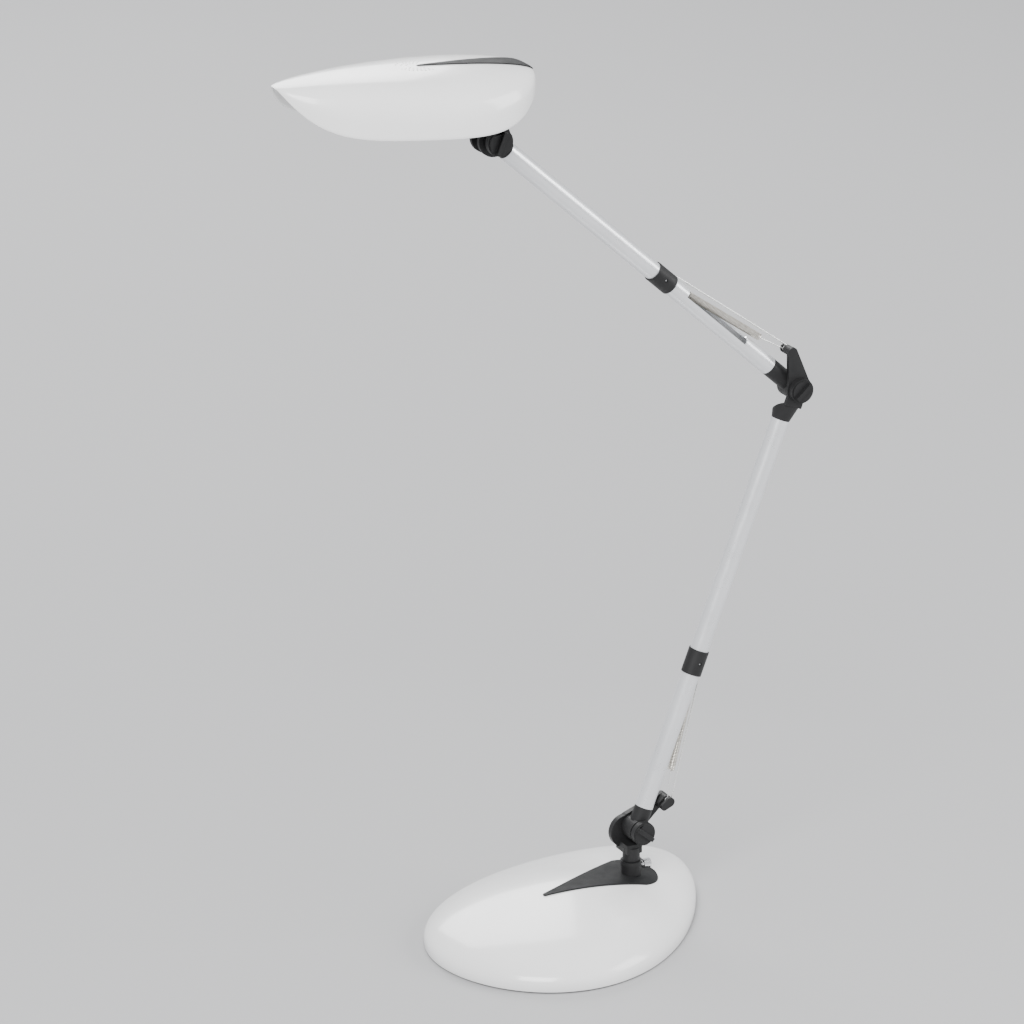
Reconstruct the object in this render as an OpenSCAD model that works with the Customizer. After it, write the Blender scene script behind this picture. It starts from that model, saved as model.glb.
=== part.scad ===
// Swing arm desk lamp: weighted base, swivelling shoulder, two sprung tube arms, tilting head.
// Millimetres. The origin is on the table under the swivel post. +Z is up, and at rest both
// arms stand in the XZ plane, with the elbow towards +X and the head towards -X.

/* [Base] */
// Length of the base along its long axis
base_len = 299; // [270:1:320]
// Width of the base
base_w = 205; // [190:1:220]
// Height of the upright rim of the cover
base_lip = 6.2; // [5:0.1:8]
// Rise of the dome above its rim
base_rise = 34; // [31:0.5:38]
// How round the dome's shoulder is: 0.5 is an ellipse, 1 a parabola
base_round = 0.47; // [0.4:0.01:0.6]
// How much fuller the front half is than the back half
base_egg = 0.28; // [0:0.01:0.35]
// Turn of the long axis away from the arms
base_turn = 29; // [20:1:35]
// Middle of the base, in front of the post
base_x = -54.2; // [-60:0.1:-45]
// Middle of the base, beside the post
base_y = 2.6; // [-10:0.1:10]
// Wall of the white cover
base_wall = 2.6; // [2:0.1:3]
// Thickness of the steel weight
weight_t = 12; // [8:0.5:13]

/* [Base inlay] */
// Radius of the inlay's round end
inlay_r = 25.5; // [22:0.5:28]
// Distance from the middle of the round end to the tip
inlay_len = 91; // [80:1:100]
// Turn of the inlay away from the arms
inlay_turn = 8.3; // [0:0.1:15]
// Sideways place of the round end
inlay_y = 4; // [0:0.5:6]
// Thickness of the inlay
inlay_t = 1.1; // [0.8:0.1:1.5]

/* [Arms] */
// Lower arm, pivot to pivot
lower_len = 410; // [380:1:430]
// Upper arm, pivot to pivot
upper_len = 394; // [370:1:420]
// Backward lean of the lower arm at rest
lower_tilt = 21.4; // [15:0.1:30]
// Forward lean of the upper arm at rest
upper_tilt = 47.8; // [40:0.1:60]
// Outside diameter of the arm tubes
tube_d = 16; // [15:0.1:17]
// Wall of the arm tubes
tube_wall = 1.2; // [1:0.1:1.5]
// Shoulder pivot behind the post's axis
pivot_x = 4.75; // [3:0.05:6]
// Shoulder pivot above the table
pivot_z = 79; // [78:0.5:84]
// Length of the collars on the tubes
collar_len = 22; // [18:1:26]
// Place of the lower collar's middle, from the shoulder
lower_collar_at = 156; // [150:1:165]
// Place of the upper collar's middle, from the elbow
upper_collar_at = 175; // [165:1:180]
// Distance of a spring lug from its pivot
lug_at = 37; // [34:0.5:38]
// Outside diameter of the spring coils
coil_d = 6.4; // [5:0.1:6.5]
// Wire of the spring coils
coil_wire = 0.9; // [0.8:0.05:1]
// Turns of each spring
coil_turns = 34; // [20:1:40]

/* [Head] */
// Length of the shade
shade_len = 232; // [225:1:250]
// Width of the shade
shade_w = 125; // [115:1:140]
// How far the shade's side edges hang below its ends
shade_drop = 37; // [30:0.5:40]
// How far the shade's ridge rises above its ends
shade_rise = 8.3; // [6:0.1:14]
// How square the shade's cross-section is: 2 is an ellipse
shade_square = 3.2; // [2:0.1:4]
// Wall of the shade
shade_wall = 2.2; // [2:0.1:3]
// Upward pitch of the shade at rest
shade_pitch = 3.7; // [0:0.1:12]
// Back end of the shade, along X
shade_x = -102.5; // [-110:0.1:-90]
// Height of the shade's back end
shade_z = 780.6; // [750:0.1:790]
// Widest place of the shade, from 0 at its back to 1 at its tip
shade_wide_at = 0.39; // [0.35:0.01:0.6]
// Highest place of the shade's ridge, from 0 at its back to 1 at its tip
shade_high_at = 0.46; // [0.4:0.01:0.6]

/* [Hidden] */

gap = 0.3; // between pieces of different bodies
slip = 0.05; // radial clearance of a pin in its bore
seat = 0.05; // between two pieces of one body
tube_r = tube_d / 2;
bore_r = tube_r - tube_wall;
eye_r = 10.5;
bolt_r = 2.5;
post_r = 6.1;
sock_r = 8.6;

elbow_x = pivot_x + lower_len * sin(lower_tilt);
elbow_z = pivot_z + lower_len * cos(lower_tilt);
head_x = elbow_x - upper_len * sin(upper_tilt);
head_z = elbow_z + upper_len * cos(upper_tilt);

black = [0.13, 0.13, 0.14];
white = [0.93, 0.93, 0.93];
silver = [0.78, 0.79, 0.81];
steel = [0.6, 0.6, 0.6];

// ---------- frames ----------

// Local +Z runs up the lower arm from the shoulder, and local +X points to its spring side.
module on_lower() {
  translate([pivot_x, 0, pivot_z]) rotate([0, lower_tilt, 0]) children();
}

// The same for the upper arm, from the elbow.
module on_upper() {
  translate([elbow_x, 0, elbow_z]) rotate([0, -upper_tilt, 0]) children();
}

// Local +X runs back from the shade's tip to its back end, which is at the origin.
module on_shade() {
  translate([shade_x, 0, shade_z]) rotate([0, shade_pitch, 0]) children();
}

module at_shoulder() {
  translate([pivot_x, 0, pivot_z]) children();
}

module at_elbow() {
  translate([elbow_x, 0, elbow_z]) children();
}

// The head's joint, with its bracket square to the shade.
module at_head() {
  translate([head_x, 0, head_z]) rotate([0, shade_pitch, 0]) children();
}

// A cylinder along Y from y0 to y1.
module y_cyl(r, y0, y1, fn = 48) {
  translate([0, y0, 0]) rotate([-90, 0, 0]) cylinder(h = y1 - y0, r = r, $fn = fn);
}

// A plate drawn in X and Z, from y0 to y1.
module y_plate(y0, y1) {
  translate([0, y1, 0]) rotate([90, 0, 0]) linear_extrude(height = y1 - y0) children();
}

// A flat bar with round ends of different radii.
module taper_bar(p, q, rp, rq) {
  d = norm(q - p);
  a = atan2(q.y - p.y, q.x - p.x);
  b = acos((rp - rq) / d);
  kp = rp * 0.999;
  kq = rq * 0.999;
  translate(p) circle(r = rp, $fn = 48);
  translate(q) circle(r = rq, $fn = 48);
  polygon([
    p + kp * [cos(a + b), sin(a + b)],
    q + kq * [cos(a + b), sin(a + b)],
    q + kq * [cos(a - b), sin(a - b)],
    p + kp * [cos(a - b), sin(a - b)]
  ]);
}

// ---------- base shape ----------

half_l = base_len / 2;
half_w = base_w / 2;

// A point of the base's plan at angle t, with its half sizes shrunk by inset.
function egg(t, inset = 0) = [
  (half_l - inset) * cos(t),
  (half_w - inset) * sin(t) * (1 - base_egg * cos(t))
];

function turned(p, a) = [p.x * cos(a) - p.y * sin(a), p.x * sin(a) + p.y * cos(a)];

function plan(t, s = 1, inset = 0) = [base_x, base_y] + turned(egg(t, inset) * s, base_turn);

function dome(s) = base_lip + base_rise * pow(max(0, 1 - s * s), base_round);

// How far out towards the rim a point is, from 0 in the middle to 1 at the rim.
function rim_share(u, v, s = 0.5, n = 14) =
  n == 0 ? s : rim_share(u, v, norm([u / half_l,
    v / (half_w * (1 - base_egg * max(-1, min(1, u / (half_l * max(s, 0.05))))))]), n - 1);

function dome_at(p) =
  let (q = turned(p - [base_x, base_y], -base_turn)) dome(min(1, rim_share(q.x, q.y)));

module egg_plan(inset, n = 72) {
  polygon([for (i = [0:n - 1]) plan(360 * i / n, 1, inset)]);
}

// Rings of a dome from its bottom edge to its top, then one point on top.
rings = [1, 0.994, 0.975, 0.94, 0.89, 0.82, 0.72, 0.6, 0.46, 0.3, 0.15];
ring_n = 60;

function dome_ring(s, inset, drop) = [
  for (i = [0:ring_n - 1])
    let (p = plan(360 * i / ring_n, s, inset)) [p.x, p.y, dome(s) - drop]
];

function flat_ring(z, inset) = [
  for (i = [0:ring_n - 1]) let (p = plan(360 * i / ring_n, 1, inset)) [p.x, p.y, z]
];

function dome_points(z0, inset, drop) = concat(
  flat_ring(z0, inset),
  [for (s = rings) each dome_ring(s, inset, drop)],
  [[base_x, base_y, dome(0) - drop]]
);

function ring_faces(first, count, n) = [
  for (k = [0:count - 2])
    for (i = [0:n - 1])
      let (a = first + k * n + i, b = first + k * n + (i + 1) % n)
        each [[a, b + n, b], [a, a + n, b + n]]
];

function flip(faces) = [for (f = faces) [f[2], f[1], f[0]]];

// The cover as one closed skin: outside, bottom edge and inside.
module cover_shell() {
  count = len(rings) + 1;
  half = count * ring_n + 1;
  top = count * ring_n;
  outer = concat(
    ring_faces(0, count, ring_n),
    [for (i = [0:ring_n - 1]) [top - ring_n + i, top, top - ring_n + (i + 1) % ring_n]]
  );
  edge = [
    for (i = [0:ring_n - 1])
      let (j = (i + 1) % ring_n) each [[i, j, half + j], [i, half + j, half + i]]
  ];
  polyhedron(
    points = concat(
      dome_points(1.4, 0, 0),
      dome_points(1.4, base_wall, base_wall)
    ),
    faces = concat(outer, edge, flip([for (f = outer) f + [half, half, half]]))
  );
}

// ---------- base ----------

gland_r = 3;
gland_t = 40;
gland_p = plan(gland_t);
gland_z = 8.6;
gland_a = base_turn + atan2(
  half_l * sin(gland_t), half_w * (cos(gland_t) - base_egg * cos(2 * gland_t)));

module at_gland() {
  translate([gland_p.x, gland_p.y, gland_z]) rotate([0, 0, gland_a]) rotate([0, 90, 0])
    children();
}

boss_at = [for (t = [40, 140, 220, 320]) plan(t, 0.62, 0)];

module base_pad() {
  color([0.16, 0.16, 0.16])
    linear_extrude(height = 1.8) egg_plan(base_wall + 1);
}

module base_weight() {
  color([0.35, 0.35, 0.37])
    difference() {
      translate([0, 0, 1.85]) linear_extrude(height = weight_t) egg_plan(9);
      translate([0, 0, -1]) cylinder(h = 30, r = 7.2, $fn = 48);
      translate([0, 0, -1]) cylinder(h = 9, r = 14.5, $fn = 48);
      for (p = boss_at) translate([p.x, p.y, -1]) cylinder(h = 30, r = 2.3, $fn = 24);
      for (p = boss_at) translate([p.x, p.y, -1]) cylinder(h = 5.9, r = 4.3, $fn = 24);
      at_gland() translate([0, 0, -20]) cylinder(h = 30, r = 7.2, $fn = 48);
    }
}

module base_cover() {
  color(white)
    difference() {
      cover_shell();
      translate([0, 0, 20]) cylinder(h = 40, r = 7.6, $fn = 12);
      at_gland() translate([0, 0, -30]) cylinder(h = 60, r = 5, $fn = 12);
    }
}

// Half width of a teardrop at distance d from its tip, for a round end of radius r.
function drop_half(d, len, r) = 1.6 + (r - 1.6) * pow(min(1, d / len), 1.12);

// Outline of a teardrop: its tip towards -X, and the middle of its round end at the origin.
function drop_outline(len, r) = concat(
  [for (a = [-80:20:80]) r * [cos(a), sin(a)]],
  [for (i = [10:-1:1]) [-len * (1 - i / 10), drop_half(len * i / 10, len, r)]],
  [[-len - 0.8, 1.2], [-len - 1.6, 0], [-len - 0.8, -1.2]],
  [for (i = [1:10]) [-len * (1 - i / 10), -drop_half(len * i / 10, len, r)]]
);

// A skin that follows the dome: strips across the teardrop from its tip to its round end.
inlay_cols = 10;
inlay_rows = 24;

function inlay_station(k) = let (f = k / inlay_rows)
  f < 0.62 ? -inlay_len - 1.6 + (inlay_len + 1.6) * (f / 0.62)
           : inlay_r * sin(90 * (f - 0.62) / 0.38) * 0.9995;

function inlay_half(x) =
  x <= 0 ? (x < -inlay_len ? max(0.5, 1.6 * sqrt(max(0, 1 - pow((-inlay_len - x) / 1.7, 2))))
                           : drop_half(inlay_len + x, inlay_len, inlay_r))
         : max(0.5, sqrt(max(0, inlay_r * inlay_r - x * x)));

function inlay_plan(k, j) =
  let (x = inlay_station(k), y = inlay_half(x) * (2 * j / inlay_cols - 1))
    [0, inlay_y] + turned([x, y], inlay_turn);

function inlay_layer(h) = [
  for (k = [0:inlay_rows]) for (j = [0:inlay_cols])
    let (p = inlay_plan(k, j)) [p.x, p.y, dome_at(p) + h]
];

module skin(rows, cols, low, high) {
  n = (rows + 1) * (cols + 1);
  w = cols + 1;
  polyhedron(
    points = concat(high, low),
    faces = concat(
      [for (k = [0:rows - 1]) for (j = [0:cols - 1])
        let (a = k * w + j) each [[a, a + 1, a + w + 1], [a, a + w + 1, a + w]]],
      [for (k = [0:rows - 1]) for (j = [0:cols - 1])
        let (a = n + k * w + j) each [[a, a + w + 1, a + 1], [a, a + w, a + w + 1]]],
      [for (k = [0:rows - 1]) let (a = k * w)
        each [[a, a + w, n + a + w], [a, n + a + w, n + a]]],
      [for (k = [0:rows - 1]) let (a = k * w + cols)
        each [[a, n + a + w, a + w], [a, n + a, n + a + w]]],
      [for (j = [0:cols - 1]) each [[j, n + j + 1, j + 1], [j, n + j, n + j + 1]]],
      [for (j = [0:cols - 1]) let (a = rows * w + j)
        each [[a, a + 1, n + a + 1], [a, n + a + 1, n + a]]]
    )
  );
}

module base_inlay() {
  color(black)
    difference() {
      skin(inlay_rows, inlay_cols, inlay_layer(0.12), inlay_layer(0.12 + inlay_t));
      cylinder(h = 60, r = sock_r + seat, $fn = 48);
    }
}

dome_post = dome_at([0, 0]);
sock_top = dome_post + 14;

module post_socket() {
  color(black)
    difference() {
      union() {
        translate([0, 0, 3.4]) cylinder(h = dome_post, r = 7.1, $fn = 48);
        translate([0, 0, dome_post + 1]) cylinder(h = 11, r = sock_r, $fn = 64);
        translate([0, 0, sock_top - 4]) cylinder(h = 4, r = sock_r + 0.9, $fn = 64);
      }
      translate([0, 0, 16]) cylinder(h = 60, r = post_r + slip, $fn = 64);
      translate([0, 0, sock_top - 6.4]) rotate([0, 90, 0])
        cylinder(h = 20, r = 2 + slip, $fn = 32);
    }
}

module base_spacer() {
  color(steel)
    difference() {
      translate([0, 0, weight_t + 2]) cylinder(h = 17, r = 10, $fn = 48);
      translate([0, 0, 0]) cylinder(h = 60, r = 7.2, $fn = 48);
    }
}

module base_nut() {
  color(steel)
    difference() {
      translate([0, 0, 2.6]) cylinder(h = 5.2, r = 13.2, $fn = 6);
      cylinder(h = 10, r = 7.15, $fn = 48);
    }
}

module cover_bosses() {
  color(white)
    for (p = boss_at)
      difference() {
        translate([p.x, p.y, weight_t + 1.9])
          cylinder(h = dome(0.63) - base_wall - weight_t - 1.4, r = 4.5, $fn = 32);
        translate([p.x, p.y, weight_t - 1]) cylinder(h = 12, r = 1.6, $fn = 24);
      }
}

module base_screws() {
  color(steel)
    for (p = boss_at) {
      translate([p.x, p.y, 2.4]) cylinder(h = 2.4, r = 3.6, $fn = 32);
      translate([p.x, p.y, 2.4]) cylinder(h = weight_t + 7, r = 1.55, $fn = 24);
    }
}

module cord_gland() {
  color(black)
    at_gland()
      difference() {
        union() {
          translate([0, 0, -12]) cylinder(h = 16, r = 4.6, $fn = 48);
          translate([0, 0, 0.4]) cylinder(h = 3.6, r = 5.4, $fn = 48);
        }
        translate([0, 0, -13]) cylinder(h = 20, r = gland_r, $fn = 48);
      }
}

module set_screw() {
  color([0.85, 0.85, 0.86])
    translate([0, 0, sock_top - 6.4]) rotate([0, 90, 0])
      difference() {
        union() {
          translate([0, 0, post_r + 0.35]) cylinder(h = 6, r = 2, $fn = 32);
          translate([0, 0, sock_r + 1.4]) cylinder(h = 1.6, r = 2.6, $fn = 32);
          translate([0, 0, sock_r + 2.9]) cylinder(h = 6.6, r = 4.2, $fn = 48);
        }
        translate([0, 0, sock_r + 12.2]) cube([9, 1.2, 6], center = true);
      }
}

// ---------- shoulder ----------

yoke_y0 = tube_r + gap + 0.4;
yoke_y1 = yoke_y0 + 5.4;
lug_a = 32;
lug_p = lug_at * [cos(lug_a), sin(lug_a)];

module swivel_yoke() {
  color(black)
    difference() {
      union() {
        translate([0, 0, 16.4]) cylinder(h = 45, r = post_r, $fn = 64);
        translate([0, 0, sock_top + gap]) cylinder(h = 12, r = post_r + 1.5, $fn = 64);
        translate([-7.3, -6.2, 58]) cube([14.6, yoke_y1 + 6.2, 8.6]);
        at_shoulder() {
          y_plate(yoke_y0, yoke_y1) {
            translate([-4.75, -5]) circle(r = 15, $fn = 64);
            taper_bar([0, 0], lug_p, 12, 4.4);
          }
          translate([lug_p.x, 0, lug_p.y]) y_cyl(2, -2, 2, 32);
          y_plate(-4.6, -1.6) taper_bar(lug_p * 0.82, lug_p, 3.2, 4.2);
          y_plate(1.6, yoke_y0 + 1) taper_bar(lug_p * 0.82, lug_p, 3.2, 4.2);
        }
      }
      at_shoulder() y_cyl(bolt_r + slip, yoke_y0 - 1, yoke_y1 + 1, 32);
      at_shoulder() y_cyl(5, yoke_y1 - 3, yoke_y1 + 1, 6);
    }
}

module shoulder_nut() {
  color(steel)
    at_shoulder()
      difference() {
        y_cyl(4.6, yoke_y1 - 2.9, yoke_y1 + 0.6, 6);
        y_cyl(bolt_r + slip, yoke_y1 - 4, yoke_y1 + 2, 32);
      }
}

// A clamping knob with a slanted finger bar, its back at y0 and its face towards -Y.
module knob(y0, r, turn) {
  difference() {
    union() {
      y_cyl(r, y0 - 5.2, y0, 64);
      y_cyl(r - 1.2, y0 - 6.2, y0 - 5, 64);
      rotate([0, turn, 0]) translate([-r + 1.6, y0 - 9.4, -1.9]) cube([2 * r - 3.2, 4.2, 3.8]);
    }
    y_cyl(3.1, y0 - 3.6, y0 + 1, 32);
  }
}

module bolt(y_head, y_end) {
  y_cyl(3, y_head, y_head + 3.4, 6);
  y_cyl(bolt_r, y_head + 3.3, y_end, 32);
}

knob_y = -tube_r - gap - 1.3;

module shoulder_knob() {
  color(black) at_shoulder() knob(knob_y, 10.6, 40);
}

module shoulder_bolt() {
  color(steel) at_shoulder() bolt(knob_y - 3.5, yoke_y1 + 0.5);
}

// The washer between the eye and the yoke.
module shoulder_washer() {
  color(steel)
    at_shoulder()
      difference() {
        y_cyl(7, tube_r + gap - 0.25, yoke_y0 - 0.05, 48);
        y_cyl(bolt_r + slip, 0, 20, 32);
      }
}

// ---------- arm pieces ----------

// The end of an arm: an eye on the pivot and a stub that goes into the tube.
module arm_foot(tube_at, eye_y) {
  difference() {
    union() {
      y_cyl(eye_r, -eye_y, eye_y, 64);
      intersection() {
        translate([0, 0, 2]) cylinder(h = tube_at - 2 - seat, r = tube_r, $fn = 64);
        translate([-20, -eye_y, 0]) cube([40, 2 * eye_y, 60]);
      }
      translate([0, 0, tube_at - 4]) cylinder(h = 22, r = bore_r - seat, $fn = 48);
    }
    y_cyl(bolt_r + slip, -20, 20, 32);
    translate([cable_x, 0, 8]) cylinder(h = 60, r = duct_r, $fn = 32);
  }
}

// A tube from z0 to z1 with a slot for its spring from s0 to s1, and a hole for its collar's pin.
// The slot starts at local x, and reaches out to y on the knob's side.
module arm_tube(z0, z1, s0, s1, x, y, pin_at) {
  difference() {
    translate([0, 0, z0]) cylinder(h = z1 - z0, r = tube_r, $fn = 64);
    translate([0, 0, z0 - 1]) cylinder(h = z1 - z0 + 2, r = bore_r, $fn = 64);
    translate([x, y, s0]) cube([tube_d, 3.7 - y, s1 - s0]);
    for (s = [s0, s1])
      translate([3, 0, s]) rotate([0, 90, 0]) cylinder(h = tube_d, r = 3.7, $fn = 32);
    translate([0, 0, pin_at]) rotate([90, 0, 0]) cylinder(h = 20, r = 1.55, $fn = 24);
  }
}

module collar(at) {
  difference() {
    translate([0, 0, at - collar_len / 2]) cylinder(h = collar_len, r = tube_r + 1, $fn = 64);
    translate([0, 0, at - 30]) cylinder(h = 60, r = tube_r + seat, $fn = 64);
    translate([0, 0, at]) rotate([90, 0, 0]) cylinder(h = 20, r = 1.55, $fn = 24);
  }
}

// The grub screw that holds a collar on its tube, seen as a small dimple.
module collar_pin(at) {
  translate([0, -5.5, at]) rotate([90, 0, 0])
    difference() {
      cylinder(h = 3.1, r = 1.5, $fn = 24);
      translate([0, 0, 2.1]) cylinder(h = 2, r = 0.8, $fn = 6);
    }
}

spring_low = 57;
spring_top = 143;
spring_x0 = 14.2;
spring_x1 = 3.4;
cable_x = -2.6;
cable_r = 1.9;
duct_r = 2.6;

// A closed coil along a slanted line, made of rings of wire side by side.
coil_r = (coil_d - coil_wire) / 2;
coil_lean = atan2(spring_x1 - spring_x0, spring_top - spring_low);
coil_len = norm([spring_x1 - spring_x0, spring_top - spring_low]);
coil_pitch = coil_len / coil_turns;

module arm_spring() {
  translate([spring_x0, 0, spring_low]) rotate([0, coil_lean, 0]) {
    difference() {
      cylinder(h = coil_len, r = coil_d / 2, $fn = 32);
      translate([0, 0, -1]) cylinder(h = coil_len + 2, r = coil_d / 2 - coil_wire, $fn = 32);
    }
    translate([-coil_d / 2 + 0.3, -0.45, coil_len - 0.4])
      cube([coil_d - 0.6, 0.9, 0.8]);
    translate([-coil_d / 2 + 0.3, -0.45, -0.4]) cube([coil_d - 0.6, 0.9, 0.8]);
    translate([0, 0, coil_len]) cylinder(h = 10, r = 0.45, $fn = 24);
  }
}

// A straight wire between two points of an arm's frame.
module wire(p, q, r) {
  d = q - p;
  translate(p) rotate([0, acos(d.z / norm(d)), atan2(d.y, d.x)])
    cylinder(h = norm(d), r = r, $fn = 24);
}

// Where the lug of the piece below an arm is, in the arm's frame, which leans by tilt.
function lug_in_arm(a, tilt) = lug_at * [cos(a + tilt), sin(a + tilt)];

module spring_wires(lug, collar_at) {
  wire([tube_r + 1.1, 0, collar_at - collar_len / 2 - 0.6], [lug.x + 2.8, 0, lug.y + 1.6], 0.7);
  wire([spring_x0, 0, spring_low - 0.8], [lug.x - 1.4, 0, lug.y + 2.8], 0.5);
}

lower_z0 = 20.5;
lower_z1 = 379.5;

module lower_foot() {
  color(black) on_lower() arm_foot(lower_z0, tube_r);
}

module lower_tube() {
  color(silver) on_lower() arm_tube(lower_z0, lower_z1, 84, 140, 3, -3.7,
    lower_collar_at);
}

module lower_collar() {
  color(black) on_lower() collar(lower_collar_at);
}

module lower_collar_pin() {
  color(steel) on_lower() collar_pin(lower_collar_at);
}

module lower_spring() {
  color([0.55, 0.53, 0.5]) on_lower() arm_spring();
}

module lower_spring_wire() {
  color([0.75, 0.75, 0.75])
    on_lower() spring_wires(lug_in_arm(lug_a, lower_tilt), lower_collar_at);
}

// ---------- elbow ----------

elbow_y0 = -tube_r - gap - 0.4;
elbow_y1 = elbow_y0 - 3.5;
elbow_reach = 14;
elbow_lug_a = 101.2;
elbow_lug_p = lug_at * 0.95 * [cos(elbow_lug_a), sin(elbow_lug_a)];

module elbow_bracket() {
  color(black)
    difference() {
      union() {
        on_lower() {
          translate([0, 0, lower_z1 - 22]) cylinder(h = 24, r = bore_r - seat, $fn = 48);
          intersection() {
            translate([0, 0, lower_z1 + seat]) rotate_extrude($fn = 64)
              polygon([[0, 0], [tube_r, 0], [11.5, 14], [11.5, 21], [0, 21]]);
            translate([-20, 0, lower_z1]) rotate([90, 0, 90]) linear_extrude(height = 40)
              polygon([[-elbow_reach, -1], [9.6, -1], [9.6, 3], [elbow_y0 + 0.1, 16],
                [elbow_y0 + 0.1, 24], [-elbow_reach, 24]]);
          }
        }
        at_elbow() {
          y_plate(elbow_y1, elbow_y0) {
            circle(r = 12, $fn = 64);
            taper_bar([0.6, -0.6], elbow_lug_p, 11.2, 4.4);
            rotate(-lower_tilt) translate([-8.4, -16]) square([16.8, 16]);
          }
          translate([elbow_lug_p.x, 0, elbow_lug_p.y]) {
            y_cyl(4.1, elbow_y0 - 1, -1.6, 32);
            y_cyl(2, -2, 2, 32);
            y_cyl(4, 1.6, 3.4, 32);
          }
        }
      }
      at_elbow() y_cyl(bolt_r + slip, elbow_y1 - 1, elbow_y0 + 1, 32);
      on_lower() translate([cable_x, 0, lower_z1 - 30]) cylinder(h = 40, r = duct_r, $fn = 32);
    }
}

module elbow_knob() {
  color(black) at_elbow() knob(elbow_y1 - 0.3, 10.6, -42);
}

module elbow_bolt() {
  color(steel) at_elbow() bolt(elbow_y1 - 3.8, tube_r + 4.2);
}

module elbow_washer() {
  color(steel)
    at_elbow() {
      difference() {
        y_cyl(7, -tube_r - gap - 0.35, -tube_r - gap + 0.2, 48);
        y_cyl(bolt_r + slip, -20, 0, 32);
      }
    }
}

module elbow_nut() {
  color(steel)
    at_elbow()
      difference() {
        union() {
          y_cyl(7, tube_r + 0.1, tube_r + 1, 48);
          y_cyl(4.6, tube_r + 0.9, tube_r + 4.4, 6);
        }
        y_cyl(bolt_r + slip, 0, 20, 32);
      }
}

// ---------- upper arm ----------

upper_z0 = 33;
upper_z1 = 374;

module upper_foot() {
  color(black) on_upper() arm_foot(upper_z0, tube_r);
}

module upper_tube() {
  color(silver) on_upper() arm_tube(upper_z0, upper_z1, 70, 147, 0.6, -9,
    upper_collar_at);
}

module upper_collar() {
  color(black) on_upper() collar(upper_collar_at);
}

module upper_collar_pin() {
  color(steel) on_upper() collar_pin(upper_collar_at);
}

module upper_spring() {
  color([0.55, 0.53, 0.5]) on_upper() arm_spring();
}

module upper_spring_wire() {
  color([0.75, 0.75, 0.75])
    on_upper() spring_wires(lug_in_arm(elbow_lug_a, -upper_tilt) * 0.95, upper_collar_at);
}

tip_eye_y = 4.6;
tip_eye_r = 8.6;

module upper_tip() {
  color(black)
    on_upper()
      difference() {
        union() {
          translate([0, 0, upper_z1 - 22]) cylinder(h = 24, r = bore_r - seat, $fn = 48);
          translate([0, 0, upper_z1 + seat]) cylinder(h = 4.5, r1 = tube_r, r2 = 6.8, $fn = 64);
          translate([0, 0, upper_len]) y_cyl(tip_eye_r, -tip_eye_y, tip_eye_y, 64);
          translate([-5.4, -tip_eye_y + 0.6, upper_z1 + 3])
            cube([10.8, 2 * tip_eye_y - 1.2, upper_len - upper_z1 - 3]);
        }
        translate([0, 0, upper_len]) y_cyl(bolt_r + slip, -20, 20, 32);
        translate([cable_x, 0, upper_z1 - 30]) cylinder(h = 41, r = duct_r, $fn = 32);
      }
}

// ---------- head joint ----------

fork_y0 = tip_eye_y + gap;
fork_y1 = fork_y0 + 3.6;
head_plate_r = 14.8;
head_knob_y = -fork_y1 - gap - 4.6;
stem_r = 3.5;
stem_x = -4;

module head_bracket() {
  color(black)
    at_head()
      difference() {
        union() {
          for (s = [-1, 1]) {
            y0 = s > 0 ? fork_y0 : -fork_y1;
            y_plate(y0, y0 + 3.6) {
              circle(r = head_plate_r, $fn = 64);
              translate([-12, 0]) square([18, 15]);
            }
          }
          translate([-12, -fork_y1, 11]) cube([18, 2 * fork_y1, 4]);
          translate([stem_x, 0, 14]) cylinder(h = 6, r = 8.2, $fn = 48);
        }
        y_cyl(bolt_r + slip, -20, 20, 32);
        translate([stem_x, 0, 9]) cylinder(h = 30, r = stem_r + slip, $fn = 48);
      }
}

module head_knob() {
  color(black)
    at_head()
      difference() {
        union() {
          knob(head_knob_y, 11.6, -72);
          y_cyl(6.5, head_knob_y - 0.1, -fork_y1 - gap, 48);
        }
        y_cyl(3.1, head_knob_y - 3.6, 0, 32);
      }
}

module head_bolt() {
  color(steel) at_head() bolt(head_knob_y - 3.5, fork_y1 + 3.6);
}

module head_nut() {
  color(steel)
    at_head()
      difference() {
        y_cyl(4.6, fork_y1 + 0.05, fork_y1 + 3.4, 6);
        y_cyl(bolt_r + slip, 0, 20, 32);
      }
}

// ---------- head ----------

// Share of the full width at t, from 0 at the shade's back to 1 at its tip.
function swell(t, c, nf, nb, qf = 0.5) =
  t < c ? pow(max(0, 1 - pow((c - t) / c, nb)), 0.5)
        : pow(max(0, 1 - pow((t - c) / (1 - c), nf)), qf);

function shade_half(t) = shade_w / 2 * swell(t, shade_wide_at, 1.35, 2.65);
function shade_rim(t) = -shade_drop * (1 - pow(abs(2 * t - 1), 4.6));
function shade_top(t) = shade_rise * swell(t, shade_high_at, 2.1, 3.2, 0.75);

// A point of the shade: t along it, a across it from -90 to 90, shrunk by k along, across, up.
function shade_pt(t, a, k = [1, 1, 1], sink = 0) =
  let (q = 1 / pow(pow(abs(sin(a)), shade_square) + pow(abs(cos(a)), shade_square),
         1 / shade_square)) [
    -shade_len / 2 - (t - 0.5) * shade_len * k.x,
    shade_half(t) * q * sin(a) * k.y,
    shade_rim(t) + (shade_top(t) - shade_rim(t)) * q * cos(a) * k.z - sink * q * cos(a)
  ];

// The angle across the shade at which a share u of its half width is reached.
function across(u) = atan2(u, pow(1 - pow(abs(u), shade_square), 1 / shade_square));

shade_rows = 40;
shade_cols = 18;

function shade_t(i, n) = (1 - cos(180 * i / n)) / 2;

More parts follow.
